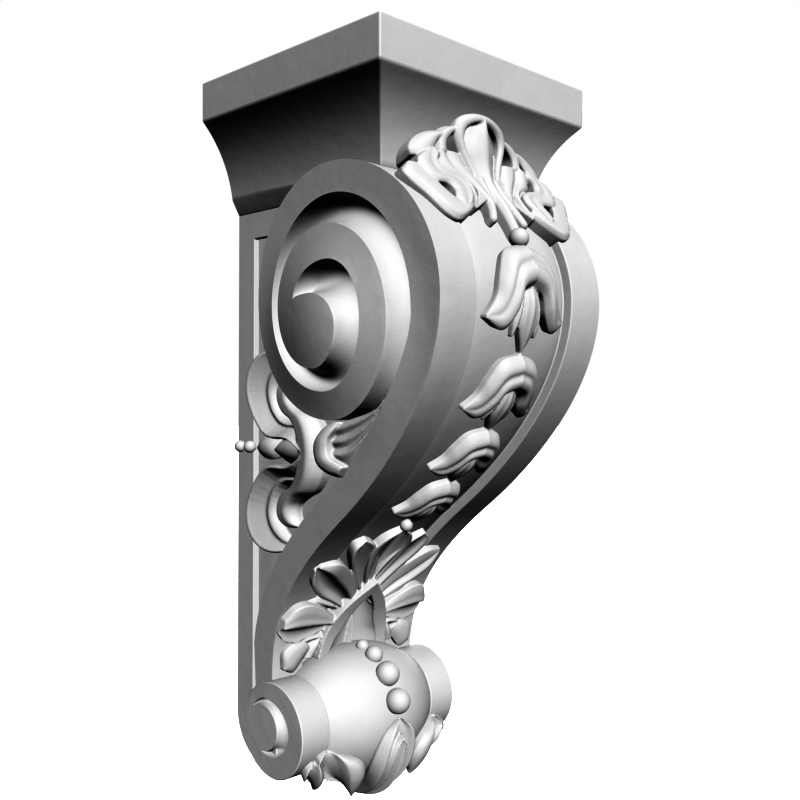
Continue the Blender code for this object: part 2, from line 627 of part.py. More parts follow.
def plaster():
    material = bpy.data.materials.new("cast_plaster")
    material.use_nodes = True
    shader = material.node_tree.nodes["Principled BSDF"]
    shader.inputs["Base Color"].default_value = (0.72, 0.71, 0.69, 1)
    shader.inputs["Roughness"].default_value = 0.62
    shader.inputs["Metallic"].default_value = 0.0
    return material


def build():
    for old in list(bpy.data.objects):
        bpy.data.objects.remove(old)
    corbel = abacus_and_cove()
    corbel.name = "corbel"
    foot = roll()
    combine(foot, "DIFFERENCE", [ring_groove(1), ring_groove(-1)])
    combine(corbel, "UNION", [border(), core(), scroll(), foot])
    drops = [solid for size in HUSKS for solid in husk(*size)]
    leaves = crown() + palmette() + barrel_leaves() + side_flower(1) + side_flower(-1)
    combine(corbel, "UNION", drops + beads() + leaves)
    keep_outer_shell(corbel.data)
    thin_out(corbel.data)
    corbel.data.name = "corbel"
    corbel.data.materials.clear()
    corbel.data.materials.append(plaster())
    corbel.data.shade_smooth()
    corbel.data.set_sharp_from_angle(angle=math.radians(32))


build()
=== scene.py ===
"""Looks of the carved corbel: the forms of the solid with the full carving, plaster, floor and light.

The carving is described in millimetres, with X across, the wall at Y = 0, the front towards -Y, and
Z counted down from the top of the abacus, and is moved and scaled to the frame when a mesh is made.
"""

import math

import bmesh
import bpy
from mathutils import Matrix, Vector


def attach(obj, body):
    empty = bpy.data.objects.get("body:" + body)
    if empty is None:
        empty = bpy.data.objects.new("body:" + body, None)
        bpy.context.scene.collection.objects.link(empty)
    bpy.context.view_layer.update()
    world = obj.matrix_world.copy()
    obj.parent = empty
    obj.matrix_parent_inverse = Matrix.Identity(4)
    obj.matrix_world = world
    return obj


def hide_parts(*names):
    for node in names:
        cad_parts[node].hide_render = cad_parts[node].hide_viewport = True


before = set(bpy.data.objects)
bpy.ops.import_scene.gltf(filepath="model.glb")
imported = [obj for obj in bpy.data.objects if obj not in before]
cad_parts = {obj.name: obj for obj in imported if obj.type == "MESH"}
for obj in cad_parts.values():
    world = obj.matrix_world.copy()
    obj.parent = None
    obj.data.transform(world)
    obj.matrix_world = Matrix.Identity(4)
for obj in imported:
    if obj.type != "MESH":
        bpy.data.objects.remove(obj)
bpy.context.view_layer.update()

MM = 0.001
ORIGIN_BELOW_TOP = 175.0

# Abacus and the cove under it, as half width and level. The cove is a curve through three points.
ABACUS_HALF = 70.0
ABACUS_DEPTH = 125.1
COVE_TOP = (70.0, -18.7)
COVE_PULL = (55.5, -33.5)
COVE_FOOT = (52.4, -54.7)
CHAMFER_FOOT = (48.2, -62.2)
COVE_STEPS = 20

# Back block: a border against the wall and under the cove, with the side panels sunk behind it.
BORDER_HALF = 48.2
BORDER_FLARE = 1.0
BORDER_DEPTH = 13.0
BORDER_TOP = -74.8
PANEL_HALF = 45.5
BORDER_BASE_LEVEL = -309.0
BASE_LEVEL = -335.2

# Scroll: half width tapers down the front, and the volute faces rise in a low dome.
SCROLL_HALF = 53.4
SCROLL_HALF_LEVEL = -160.3
SCROLL_TAPER = 0.0444
DOME_RISE = 9.9
DOME_REACH = 61.0
DOME_CENTRE = (-79.7, -124.2)
BAND = 15.3
CHANNEL_EDGE = 0.60
CHANNEL_DEPTH = 5.15
CHANNEL_CROWN = ((0.0, 2.3), (0.15, 2.37), (0.30, 2.6), (0.42, 3.05), (0.54, 3.7))

# Each spiral goes through its front, top, back and bottom points in turn, as (Y, Z).
OUTER_SPIRAL = (
    (-144.1, -110.7), (-81.1, -50.0), (-26.7, -108.8), (-78.2, -163.2),
    (-116.6, -120.2), (-76.3, -76.5), (-45.4, -108.8), (-74.4, -140.5),
    (-90.7, -122.1), (-72.5, -107.3), (-60.1, -109.2),
)
INNER_SPIRAL = (
    (-128.6, -116.4), (-81.1, -63.7), (-39.3, -108.8), (-78.2, -150.6),
    (-103.8, -120.2), (-81.1, -92.9), (-60.1, -109.2),
)
EYE_CENTRE = (-70.0, -122.0)
GROOVE_START = -4 / 6

# The front falls from the volute to the foot in two cubic curves that meet in one direction.
UPPER_CURVE = ((-144.1, -110.7), (-144.1, -150.2), (-108.4, -186.5), (-80.2, -208.1))
LOWER_CURVE = ((-80.2, -208.1), (-32.5, -244.6), (-26.4, -269.5), (-26.4, -296.0))

# Foot: a barrel between two rings, turned on one axis, each ring with a short spiral groove.
ROLL_CENTRE = (-31.8, -312.1)
RING_RADIUS = 22.9
RING_INNER = 34.9
RING_OUTER = 51.8
BARREL_RADIUS = 33.0
BARREL_END_RADIUS = 22.2
BARREL_POWER = 2.3
RING_WALL = (-25.5, -312.0, 18.9, 14.5)
RING_EYE = (-23.6, -312.4, 11.7, 11.1)
RING_GROOVE_TURN = (124, -94)
RING_GROOVE_DEPTH = 5.0

# Line that the crown of leaves grows along: up the scroll, over the corner, up the cove.
CROWN_CURVE = ((-138.5, -84.0), (-127.0, -62.0), (-112.0, -58.0), (-116.0, -25.0))
CROWN_LENGTH = 68.0

# Husks of the front drop: distance of the top from the volute's top, length, half span, height
HUSKS = (
    (72.2, 49.0, 26.5, 7.5), (121.0, 39.0, 23.6, 6.6),
    (159.2, 34.0, 21.2, 6.4), (192.6, 33.0, 19.6, 5.4),
)

# Flower on each side panel: the level of its axis, and of the line that its curled leaves mirror in
FLOWER_AXIS = -178.0
FOLD_RISE = -0.8

# Beads: on the front (distance, height, radius), on the barrel (Y, Z, radius), by the flower (Y, radius)
FRONT_BEADS = ((70.0, 2.0, 4.5), (229.3, -0.4, 3.3))
BARREL_BEADS = ((-64.9, -301.9, 6.3), (-57.5, -290.0, 6.2), (-47.8, -282.4, 4.6), (-39.3, -279.6, 3.5))
FLOWER_BEADS = ((-3.2, 3.0), (-11.1, 3.1))
FLOWER_BEAD_RISE = 0.7
FLOWER_BEAD_STAND = 1.3

# How far the underside of a leaf is sunk below the ground that it grows from
LOBE_SINK = 13
CROWN_SINK = 12
TONGUE_SINK = 10
STEM_SINK = 8
HUSK_SINK = 6
PALMETTE_SINK = 9
BARREL_SINK = 6
BARREL_TIP_SINK = 8
FLOWER_SINK = 4
TRUMPET_SINK = 6

# Sections across a leaf, from one side to the other, as parts of its height
ROUND = (0.35, 0.85, 1, 0.85, 0.35)
BAND_SECTION = (1, 1, 1, 1, 1)
RIDGE = (0.3, 0.6, 1, 0.6, 0.3)
SPOON = (0.9, 1, 0.5, 0.35, 0.35, 0.5, 0.75, 0.8)

# Steps in the mesh
QUARTER_STEPS = 24
TURN_STEPS = 128
FRONT_STEPS = 300
RING_GROOVE_STEPS = 60
ALONG = 26
ACROSS = 18
BALL_TURN = 32
BALL_ROWS = 20

# Skin of the carving, in metres: its grain, the share of its faces kept, and the arrises of the body
VOXEL = 0.00048
KEPT_SHARE = 0.55
ARRIS = 0.0009
BORDER_ARRIS = 0.0005

# Greys of the plaster, with a painted shade for its hollows and a painted highlight for its edges
PLAIN_TONE = (0.494, 0.494, 0.491, 1)
PALE_TONE = (0.509, 0.509, 0.505, 1)
PORE_TONE = (0.42, 0.42, 0.415, 1)
PAINTED_HOLLOW_SHADE_TONE = (0.36, 0.36, 0.355, 1)
PAINTED_EDGE_HIGHLIGHT_TONE = (0.60, 0.60, 0.595, 1)

# Camera of the photo, in metres and millimetres of lens
EYE_PLACE = (-0.33428, -0.40064, 0.02076)
EYE_TURN = (math.pi / 2, 0, -math.pi / 4)
LENS = 43.456
SENSOR = 36

# Lamps: the direction that the light comes from, its strength, and its spread in degrees
KEY_LAMP = ((-0.416, -0.758, 0.503), 6.3, 14)
BACK_LAMP = ((0.80, 0.58, 0.12), 4.2, 40)
FLOOR_LAMP = ((0, 0, 1), 3.4, 120)
GAMMA = 0.46

# Floor, in metres
FLOOR_LEVEL = -0.19
FLOOR_REACH = 6.0
FLOOR_TONE = (0.8, 0.8, 0.8, 1)
FLOOR_ROUGHNESS = 0.9


def mix(a, b, t):
    return tuple(p + (q - p) * t for p, q in zip(a, b))


def bezier(points, t):
    while len(points) > 1:
        points = [mix(a, b, t) for a, b in zip(points, points[1:])]
    return points[0]


def keyed(values, t):
    """Smooth value through evenly spaced keys."""
    span = min(max(t, 0), 1) * (len(values) - 1)
    i = min(int(span), len(values) - 2)
    f = span - i
    a, b = values[i], values[i + 1]
    before = values[i - 1] if i > 0 else 2 * a - b
    after = values[i + 2] if i + 2 < len(values) else 2 * b - a
    slope_a, slope_b = (b - before) / 2, (after - a) / 2
    return ((2 * f ** 3 - 3 * f ** 2 + 1) * a + (f ** 3 - 2 * f ** 2 + f) * slope_a
            + (3 * f ** 2 - 2 * f ** 3) * b + (f ** 3 - f ** 2) * slope_b)


def keyed_point(points, t):
    return (keyed([p[0] for p in points], t), keyed([p[1] for p in points], t))


def quarter_spiral(extremes, q):
    """Point after q quarter turns, on quarter ellipses between the extreme points."""
    i = min(int(q), len(extremes) - 2)
    angle = (q - i) * math.pi / 2
    a, b = extremes[i], extremes[i + 1]
    if i % 2 == 0:
        return (b[0] + (a[0] - b[0]) * math.cos(angle), a[1] + (b[1] - a[1]) * math.sin(angle))
    return (a[0] + (b[0] - a[0]) * math.sin(angle), b[1] + (a[1] - b[1]) * math.cos(angle))


def outer_edge(q):
    """Outline of the scroll: q runs from -2 at the foot, through 0 at the front, up and round."""
    if q >= 0:
        return quarter_spiral(OUTER_SPIRAL, q)
    return bezier(UPPER_CURVE, -q) if q >= -1 else bezier(LOWER_CURVE, -q - 1)


def inward(q):
    """Unit normal of the outline, into the corbel."""
    a, b = outer_edge(max(q - 0.01, -2)), outer_edge(q + 0.01)
    run, rise = b[0] - a[0], b[1] - a[1]
    length = math.hypot(run, rise)
    return (rise / length, -run / length)


def inner_edge(q):
    """Inner side of the scroll's band."""
    if q >= 0:
        return quarter_spiral(INNER_SPIRAL, q)
    point, normal = outer_edge(q), inward(q)
    closing = (INNER_SPIRAL[0][1] - OUTER_SPIRAL[0][1]) * max(1 + q / 0.6, 0) ** 2
    return (point[0] + BAND * normal[0], point[1] + BAND * normal[1] + closing)


def side_x(point):
    """Half width of the scroll at a point of its side."""
    reach = math.dist(point, DOME_CENTRE) / DOME_REACH
    dome = DOME_RISE * math.cos(reach * math.pi / 2) ** 2 if reach < 1 else 0.0
    return SCROLL_HALF + SCROLL_TAPER * (point[1] - SCROLL_HALF_LEVEL) + dome


class Shell:
    """Gathers the faces of closed bodies and welds the points that they share."""

    def __init__(self):
        self.bm = bmesh.new()

    def face(self, points):
        self.bm.faces.new([self.bm.verts.new(p) for p in points])

    def grid(self, rows):
        for row, following in zip(rows, rows[1:]):
            for i in range(len(row) - 1):
                self.face((row[i], row[i + 1], following[i + 1], following[i]))

    def loft(self, rings):
        """Closed rings joined in order, with a flat cap on each end."""
        self.grid([list(ring) + [ring[0]] for ring in rings])
        self.face(rings[0])
        self.face(rings[-1])

    def mirrored(self):
        """Adds the same faces on the other side of X = 0."""
        for face in list(self.bm.faces):
            self.face([(-v.co.x, v.co.y, v.co.z) for v in reversed(face.verts)])

    def finish(self, name):
        bm = self.bm
        bmesh.ops.remove_doubles(bm, verts=bm.verts, dist=0.002)
        bmesh.ops.dissolve_degenerate(bm, edges=bm.edges, dist=0.001)
        bmesh.ops.recalc_face_normals(bm, faces=bm.faces)
        for vert in bm.verts:
            vert.co = (vert.co + Vector((0, 0, ORIGIN_BELOW_TOP))) * MM
        mesh = bpy.data.meshes.new(name)
        bm.to_mesh(mesh)
        bm.free()
        solid = bpy.data.objects.new(name, mesh)
        bpy.context.scene.collection.objects.link(solid)
        return solid


def abacus_and_cove():
    levels = [(ABACUS_HALF, 0.0)]
    levels += [bezier((COVE_TOP, COVE_PULL, COVE_FOOT), i / COVE_STEPS) for i in range(COVE_STEPS + 1)]
    levels.append(CHAMFER_FOOT)
    rings = []
    for half, level in levels:
        front = -(ABACUS_DEPTH - (ABACUS_HALF - half))
        rings.append([(-half, 0, level), (half, 0, level), (half, front, level), (-half, front, level)])
    shell = Shell()
    shell.loft(rings)
    return shell.finish("corbel_body")


def slab(name, outline, half_at):
    """A side outline carried across the corbel, with its half width set by the level."""
    shell = Shell()
    shell.loft([[(side * half_at(z), y, z) for y, z in outline] for side in (-1, 1)])
    return shell.finish(name)


def border():
    flare = BORDER_FLARE / (BORDER_TOP - BORDER_BASE_LEVEL)
    centre_y, centre_z = ROLL_CENTRE
    drop = BASE_LEVEL - BORDER_BASE_LEVEL
    base = [(centre_y * (1 - math.cos(a)), BORDER_BASE_LEVEL + drop * math.sin(a))
            for a in [i * math.pi / 48 for i in range(25)]]
    under_cove = CHAMFER_FOOT[1] + 2
    outline = [(0, under_cove)] + base + [(centre_y, centre_z), (-BORDER_DEPTH, BORDER_BASE_LEVEL + 12)]
    outline += [(-BORDER_DEPTH, BORDER_TOP), (-45, BORDER_TOP), (-57, under_cove)]
    return slab("border", outline, lambda z: BORDER_HALF + flare * (BORDER_TOP - z))


def core():
    """The mass behind the scroll, whose sides are the sunk panels; it ends inside the scroll's band."""
    round_volute = [mix(outer_edge(q), inner_edge(q), 0.5) for q in [1.4 + i * 0.1 for i in range(20)]]
    down_front = []
    within = 0.6 * BAND
    for i in range(21):
        q = -0.62 - 1.33 * i / 20
        point, normal = outer_edge(q), inward(q)
        down_front.append((point[0] + within * normal[0], point[1] + within * normal[1]))
    behind = -BORDER_DEPTH * 0.4
    outline = [(behind, BORDER_TOP + 12)] + round_volute + down_front
    outline += [(ROLL_CENTRE[0], BASE_LEVEL + 12), (behind, BORDER_BASE_LEVEL)]
    return slab("core", outline, lambda z: PANEL_HALF)


def scroll():
    """Band, channel, volutes and their spiral grooves as one closed body."""
    turns = [i / QUARTER_STEPS for i in range(-2 * QUARTER_STEPS, 10 * QUARTER_STEPS + 1)]

    def between(first, last):
        return [q for q in turns if first - 1e-6 <= q <= last + 1e-6]

    def on_side(point):
        return (side_x(point), point[0], point[1])

    def front_row(q):
        point, normal = outer_edge(q), inward(q)
        half = side_x(point)
        sunk = min(max((1 - q) / 0.3, 0), 1)
        rows = list(CHANNEL_CROWN)
        rows += [(CHANNEL_EDGE - 0.008, CHANNEL_DEPTH - 0.2), (CHANNEL_EDGE, CHANNEL_DEPTH - 0.8)]
        rows += [(CHANNEL_EDGE, 0.7), (CHANNEL_EDGE + 0.003, 0.3), (CHANNEL_EDGE + 0.011, 0)]
        rows += [(0.8, 0), (1, 0)]
        return [(half * across, point[0] + depth * sunk * normal[0], point[1] + depth * sunk * normal[1])
                for across, depth in rows]

    def ribbon_row(q):
        outer, inner = outer_edge(q), inner_edge(q)
        return [on_side(mix(outer, inner, t / 6)) for t in range(7)]

    def groove_row(q):
        wall, eye = inner_edge(q), outer_edge(q + 4)
        width = math.dist(wall, eye)
        depth = (0.75 * width + 2 - min(q, 0) * 8) * min((6 - q) * 2, 1)
        row = []
        for angle in [i * math.pi / 16 for i in range(17)]:
            x, y, z = on_side(mix(wall, eye, (1 - math.cos(angle)) / 2))
            row.append((x - depth * math.sin(angle), y, z))
        return row

    shell = Shell()
    fronts = [front_row(q) for q in between(-2, GROOVE_START + 4)]
    ribbons = [ribbon_row(q) for q in between(-2, 6)]
    grooves = [groove_row(q) for q in between(GROOVE_START, 6)]
    plain = len(between(-2, GROOVE_START))
    shell.grid(fronts)
    shell.grid(ribbons)
    shell.grid(grooves)
    shell.grid([(row[-1], (0,) + row[-1][1:]) for row in ribbons[:plain]])

    eye = [on_side(outer_edge(q)) for q in between(6, 10)] + [ribbons[-1][-1]]
    shell.grid([[on_side(mix(p[1:], EYE_CENTRE, t / 9)) for p in eye + eye[:1]] for t in range(10)])

    shell.face(grooves[0] + fronts[-1][-2::-1] + [(0,) + inner_edge(GROOVE_START)])
    shell.face(fronts[0] + ribbons[0][1:] + [(0,) + ribbons[0][-1][1:]])
    shell.mirrored()
    return shell.finish("scroll")


def turned(name, profile, centre):
    """A body turned on an axis along X, from (x, radius) points, flat where it would pass the wall."""
    shell = Shell()
    rings = []
    for x, radius in profile:
        turn = [2 * math.pi * i / TURN_STEPS for i in range(TURN_STEPS)]
        rings.append([(x, min(centre[0] - radius * math.cos(a), -1), centre[1] + radius * math.sin(a))
                      for a in turn])
    shell.loft(rings)
    return shell.finish(name)


def barrel_radius(x):
    swell = 1 - abs(x / RING_INNER) ** BARREL_POWER
    return BARREL_END_RADIUS + (BARREL_RADIUS - BARREL_END_RADIUS) * swell


def roll():
    """The foot: barrel and rings, with their outer half first."""
    half = [(RING_OUTER, RING_RADIUS - 0.5), (RING_OUTER - 0.5, RING_RADIUS)]
    half += [(RING_INNER + 0.5, RING_RADIUS), (RING_INNER, RING_RADIUS - 0.5)]
    half.append((RING_INNER, BARREL_END_RADIUS))
    half += [(RING_INNER * i / 24, barrel_radius(RING_INNER * i / 24)) for i in range(23, 0, -1)]
    profile = [(-x, r) for x, r in half] + [(0, BARREL_RADIUS)] + half[::-1]
    return turned("roll", profile, ROLL_CENTRE)


def ring_groove(side):
    """Cutter for the short spiral groove in a ring's face, round-bottomed and open outwards."""
    shell = Shell()
    rings = []
    clear = side * (RING_OUTER + 3)

    def around(oval, angle):
        return (oval[0] - oval[2] * math.cos(angle), oval[1] + oval[3] * math.sin(angle))

    for i in range(1, RING_GROOVE_STEPS):
        t = i / RING_GROOVE_STEPS
        angle = math.radians(RING_GROOVE_TURN[0] + (RING_GROOVE_TURN[1] - RING_GROOVE_TURN[0]) * t)
        eye = around(RING_EYE, angle)
        wall = mix(eye, around(RING_WALL, angle), min(2.2 * math.sin(math.pi * t), 1))
        depth = RING_GROOVE_DEPTH * min(1.6 * math.sin(math.pi * t), 1)
        ring = []
        for across in [k * math.pi / 10 for k in range(11)]:
            y, z = mix(wall, eye, (1 - math.cos(across)) / 2)
            ring.append((side * (RING_OUTER - depth * math.sin(across)), y, z))
        rings.append([(clear,) + tuple(wall)] + ring + [(clear,) + tuple(eye)])
    shell.loft(rings)
    return shell.finish("ring_groove")


def front_table():
    """Samples of the front outline by distance from the top of the volute: (distance, q)."""
    table, distance = [(0.0, 1.0)], 0.0
    for i in range(1, FRONT_STEPS + 1):
        q = 1 - 3 * i / FRONT_STEPS
        distance += math.dist(outer_edge(q), outer_edge(q + 3 / FRONT_STEPS))
        table.append((distance, q))
    return table


FRONT_TABLE = front_table()


def on_front(a, s, height):
    """A place on the scroll's front: a across, s down from the volute's top, height above the band."""
    for (s0, q0), (s1, q1) in zip(FRONT_TABLE, FRONT_TABLE[1:]):
        if s <= s1:
            break
    q = q0 + (q1 - q0) * (s - s0) / (s1 - s0)
    point, normal = outer_edge(q), inward(q)
    return (a, point[0] - height * normal[0], point[1] - height * normal[1])


def on_crown(a, b, height):
    """A place over the corner of scroll and cove: a across, b up from the top bead."""
    t = b / CROWN_LENGTH
    point = bezier(CROWN_CURVE, t)
    ahead = bezier(CROWN_CURVE, t + 0.01)
    run, rise = ahead[0] - point[0], ahead[1] - point[1]
    length = math.hypot(run, rise)
    return (a, point[0] - height * rise / length, point[1] + height * run / length)


def on_barrel(a, s, height):
    """A place on the barrel: a across, s down from its front line."""
    angle = s / BARREL_RADIUS
    radius = barrel_radius(min(abs(a), RING_INNER)) + height
    return (a, ROLL_CENTRE[0] - radius * math.cos(angle), ROLL_CENTRE[1] - radius * math.sin(angle))


def leaf(shell, place, left, right, heights, section, sink=6.0, mirror=True):
    """A leaf raised on a carved ground, between two edge lines.

    Both edges are keyed points in the ground's own two directions, heights are keyed along the leaf,
    and section is keyed across it, from the left edge to the right, as parts of the height. The
    underside is sunk below the ground, so that the leaf grows out of it.
    """
    rings = []
    for i in range(ALONG + 1):
        t = i / ALONG
        a, b, height = keyed_point(left, t), keyed_point(right, t), keyed(heights, t)
        ring = []
        for j in range(ACROSS + 1):
            u = j / ACROSS
            x, y = mix(a, b, u)
            ring.append(place(x, y, height * keyed(section, u)))
        for u in (0.92, 0.08):
            x, y = mix(a, b, u)
            ring.append(place(x, y, -sink))
        rings.append(ring)
    for side in (1, -1) if mirror else (1,):
        shell.loft([[(side * x, y, z) for x, y, z in ring] for ring in rings])


def finger(shell, place, line, halves, heights, section, sink, mirror=True, tip=0.22):
    """A leaf along a centre line, with a round end that also rolls down."""
    left, right, tops = [], [], []
    for i in range(ALONG + 1):
        t = i / ALONG
        x, y = keyed_point(line, t)
        before, after = keyed_point(line, max(t - 0.01, 0)), keyed_point(line, min(t + 0.01, 1))
        run, rise = after[0] - before[0], after[1] - before[1]
        length = math.hypot(run, rise)
        rounding = math.sqrt(1 - min(max((t - 1 + tip) / tip, 0), 0.985) ** 2)
        half = keyed(halves, t) * rounding
        left.append((x - half * rise / length, y + half * run / length))
        right.append((x + half * rise / length, y - half * run / length))
        tops.append(keyed(heights, t) * (0.35 + 0.65 * rounding))
    leaf(shell, place, left, right, tops, section, sink, mirror)


def mirror_line(points):
    return [(-a, s) for a, s in points]


def ball(shell, centre, radius):
    rings = []
    turn = [2 * math.pi * k / BALL_TURN for k in range(BALL_TURN)]
    for i in range(1, BALL_ROWS):
        polar = math.pi * i / BALL_ROWS
        reach, rise = radius * math.sin(polar), radius * math.cos(polar)
        rings.append([(centre[0] + reach * math.cos(a), centre[1] + reach * math.sin(a), centre[2] + rise)
                      for a in turn])
    shell.loft(rings)


def husk(shell, top, length, span, height):
    """One bellflower of the front drop: a hood that flares into two arms over a pointed bud."""
    def at(points):
        return [(a * span, top + s * length) for a, s in points]

    hood = at([(-0.02, 0.0), (0.46, 0.08), (0.68, 0.3), (0.78, 0.5), (1.0, 0.675)])
    hem = at([(-0.02, 0.4), (0.28, 0.475), (0.40, 0.66), (0.64, 0.80), (1.0, 0.71)])
    leaf(shell, on_front, hood, hem, (height, height * 0.95, height * 0.8, height * 0.45, 0.3),
         (0.1, 0.5, 0.74, 0.82, 0.76, 0.98, 1.0, 0.86, 0.4), HUSK_SINK)
    bud = at([(0.13, 0.36), (0.2, 0.55), (0.21, 0.74), (0.0, 1.0)])
    leaf(shell, on_front, mirror_line(bud), bud, (3, 4.6, 3.6, 0.6),
         (0.3, 0.75, 0.8, 1, 0.8, 0.75, 0.3), HUSK_SINK, mirror=False)
    near = at([(0.10, 0.4), (0.16, 0.58), (0.2, 0.72), (0.28, 0.85)])
    far = at([(0.22, 0.4), (0.30, 0.58), (0.335, 0.72), (0.30, 0.86)])
    leaf(shell, on_front, near, far, (2, 2.6, 1.8, 0), RIDGE, HUSK_SINK)


def crown(shell):
    """The acanthus at the head of the scroll: middle lobe, stems, then the curled leaves outwards."""
    def grow(left, right, heights, section, sink=CROWN_SINK, mirror=True):
        leaf(shell, on_crown, left, right, heights, section, sink, mirror)

    ground = [(4, 24), (8.5, 38), (13.5, 50), (16, 58), (14.5, 63.5), (4, 66.5)]
    grow(mirror_line(ground), ground, (1, -1, -2, -1.4, 0.4, 1.6), BAND_SECTION, LOBE_SINK, mirror=False)
    grow([(5, 24), (9.5, 38), (14.5, 50), (17.2, 58), (16.2, 63.4), (11.8, 66.2), (5, 67.8), (-0.6, 68)],
         [(3, 24), (6, 38), (9.4, 49), (11.8, 56.4), (11, 60.4), (8, 62.8), (3.8, 64.2), (-0.6, 64.6)],
         (2, 2.9, 3.6, 4, 4.2, 4.5, 4.8, 4.9), (0.45, 0.88, 1, 0.98, 0.72), LOBE_SINK)
    tongue = [(2.4, 18), (5, 33), (8.6, 45), (10.8, 53), (9, 59.5), (5, 64), (0.3, 67)]
    grow(mirror_line(tongue), tongue, (3, 3.6, 5, 6.2, 6.4, 5.9, 5.1),
         (0.02, 0.5, 0.8, 1, 0.8, 0.5, 0.02), TONGUE_SINK, mirror=False)

    finger(shell, on_crown, [(0, 36), (0, 20), (0, 10), (0, -1)], (4.5, 3.2, 2.7, 2.8),
           (3.4, 4, 3.6, 3), ROUND, STEM_SINK, mirror=False, tip=0.12)
    finger(shell, on_crown, [(5, 38), (6, 24), (8.2, 15), (11.4, 7)], (3, 2.5, 2.3, 2.2),
           (3, 3.2, 2.8, 2), ROUND, STEM_SINK, tip=0.1)
    grow([(9, 40), (12.5, 27), (16, 19), (21, 13.6)],
         [(6, 38), (6.6, 29), (8.5, 21), (19.5, 12.8)], (2.6, 2.6, 2.4, 1.6), BAND_SECTION, TONGUE_SINK)
    grow([(25, 50), (21.5, 42), (16.5, 34), (12, 26), (8.5, 17)],
         [(14, 50), (11.5, 41), (8.5, 33), (6, 25), (5, 16)],
         (2.6, 3.2, 3.4, 3.2, 2.6), (0.6, 0.95, 1, 0.9, 0.5))

    grow([(29.5, 50), (28.6, 54.5), (26.6, 58), (23.2, 60.4), (18, 61.8), (14, 60.8)],
         [(23, 49), (23, 52.6), (22.2, 54.8), (20.4, 56.8), (17.4, 59), (14.4, 59.8)],
         (2.8, 3, 3, 3, 2.8, 2.2), (-0.3, 0.8, 1, 0.95, 0.7))
    grow([(44.2, 44.6), (44.8, 48), (42.8, 51.6), (38.6, 54.9), (33, 57.4), (27, 58.6), (22.5, 57.6)],
         [(34, 41.5), (34, 44.5), (33, 47.5), (30.7, 50.6), (28, 54.2), (25, 56), (22, 56.9)],
         (2.2, 2.8, 3.2, 3.2, 3.1, 2.8, 2.2), (-0.3, 0.45, 0.85, 1, 0.95, 0.7))
    grow([(33, 47), (31.4, 42), (30.5, 38.5), (27.5, 35), (21.5, 32), (18, 27.5), (17.8, 21.5), (21, 15)],
         [(24.5, 51), (23.6, 45), (21, 40), (17.5, 35.5), (15, 30.5), (14.8, 25), (16.4, 19),
          (20.5, 13.6)],
         (3.4, 3.6, 3.6, 3.6, 3.4, 3.2, 3, 2.4), (0.5, 0.85, 1, 0.9, 0.5))
    grow([(36.5, 47.6), (45.6, 39.8), (45.4, 30.5), (41, 24.6), (34, 24.2), (31.4, 21), (33.2, 16.4),
          (33, 12.6), (29.6, 10.8)],
         [(31.6, 48.8), (30, 46), (33.2, 40), (31.1, 35), (24.4, 32.8), (19.8, 29), (19.2, 21.8),
          (23.6, 14), (28.4, 10.4)],
         (3.4, 4.6, 4.8, 4.8, 4.7, 4.6, 4.6, 4.4, 3.8), (0.75, 0.95, 1, 0.98, 0.92, 0.96, 1, 0.7))
    grow([(52, 36.4), (56.4, 30.2), (53, 22), (49, 15.9), (46.2, 10.5), (42.4, 5.8), (36.5, 3.4),
          (29.5, 6.4), (23.5, 11), (19, 17)],
         [(50.4, 37), (46.4, 35.8), (42.9, 30.8), (40.3, 25.1), (37, 18.6), (33.6, 14.4), (31.5, 12.4),
          (29.5, 12.4), (27.5, 15), (25, 20)],
         (2.4, 3.4, 3.5, 3.6, 3.7, 3.7, 3.7, 3.7, 3.7, 3.4), (0.3, 0.85, 0.97, 1, 1, 0.9))


